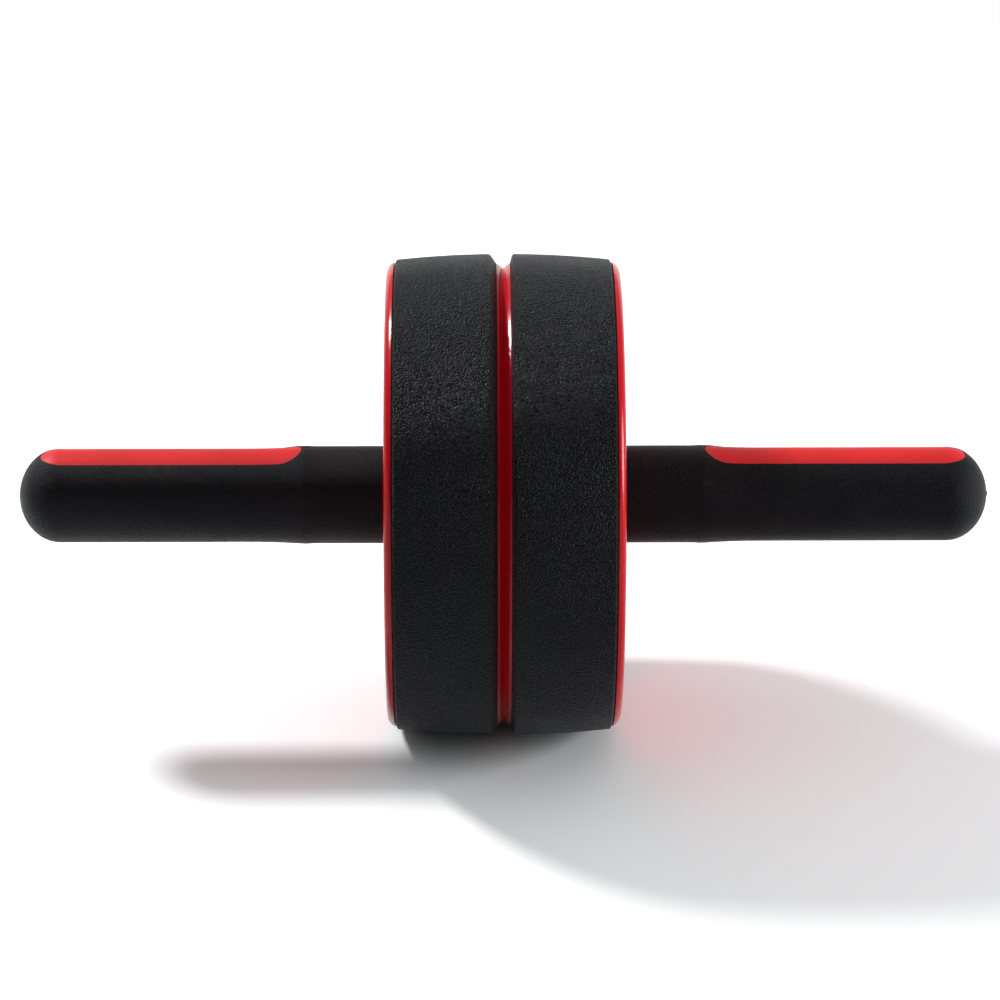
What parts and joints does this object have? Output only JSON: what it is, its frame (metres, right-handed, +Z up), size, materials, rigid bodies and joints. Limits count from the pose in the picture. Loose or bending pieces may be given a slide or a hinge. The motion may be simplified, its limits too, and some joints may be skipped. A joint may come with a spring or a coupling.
{
  "type": "ab wheel roller",
  "caption": "Ab wheel roller: a wide crowned wheel with soft black treads and red rims spins on a steel axle between soft black grips with red inserts.",
  "frame": {"origin": "centre of the wheel, on the axis of the axle", "axes": "+X along the axle towards the right-hand grip, +Z up with the grips' inserts on top, -Y towards the front"},
  "size_m": [0.362, 0.1798, 0.1798],
  "materials": {
    "axle_steel": "drawn tube",
    "screw_steel": "zinc plated",
    "washer_steel": "zinc plated",
    "core_plastic": "moulded",
    "bush_plastic": "moulded",
    "wheel_plastic": "moulded gloss",
    "tread_rubber": "grained",
    "grip_rubber": "fine grained",
    "insert_rubber": "satin"
  },
  "bodies": {
    "handlebar": {"axle_tube": "axle_steel", "left_axle_plug": "core_plastic", "right_axle_plug": "core_plastic", "left_grip_core": "core_plastic", "right_grip_core": "core_plastic", "left_grip_sleeve": "grip_rubber", "right_grip_sleeve": "grip_rubber", "left_grip_insert": "insert_rubber", "right_grip_insert": "insert_rubber", "grip_screws": "screw_steel", "left_thrust_washer": "washer_steel", "right_thrust_washer": "washer_steel"},
    "wheel": {"left_wheel_half": "wheel_plastic", "right_wheel_half": "wheel_plastic", "left_tread": "tread_rubber", "right_tread": "tread_rubber", "left_bush": "bush_plastic", "right_bush": "bush_plastic", "wheel_screws": "screw_steel"}
  },
  "joints": [
    {"name": "wheel_spin", "type": "hinge", "parent": "handlebar", "child": "wheel", "pos_m": [0, 0, 0], "axis": [1, 0, 0], "continuous": true}
  ]
}
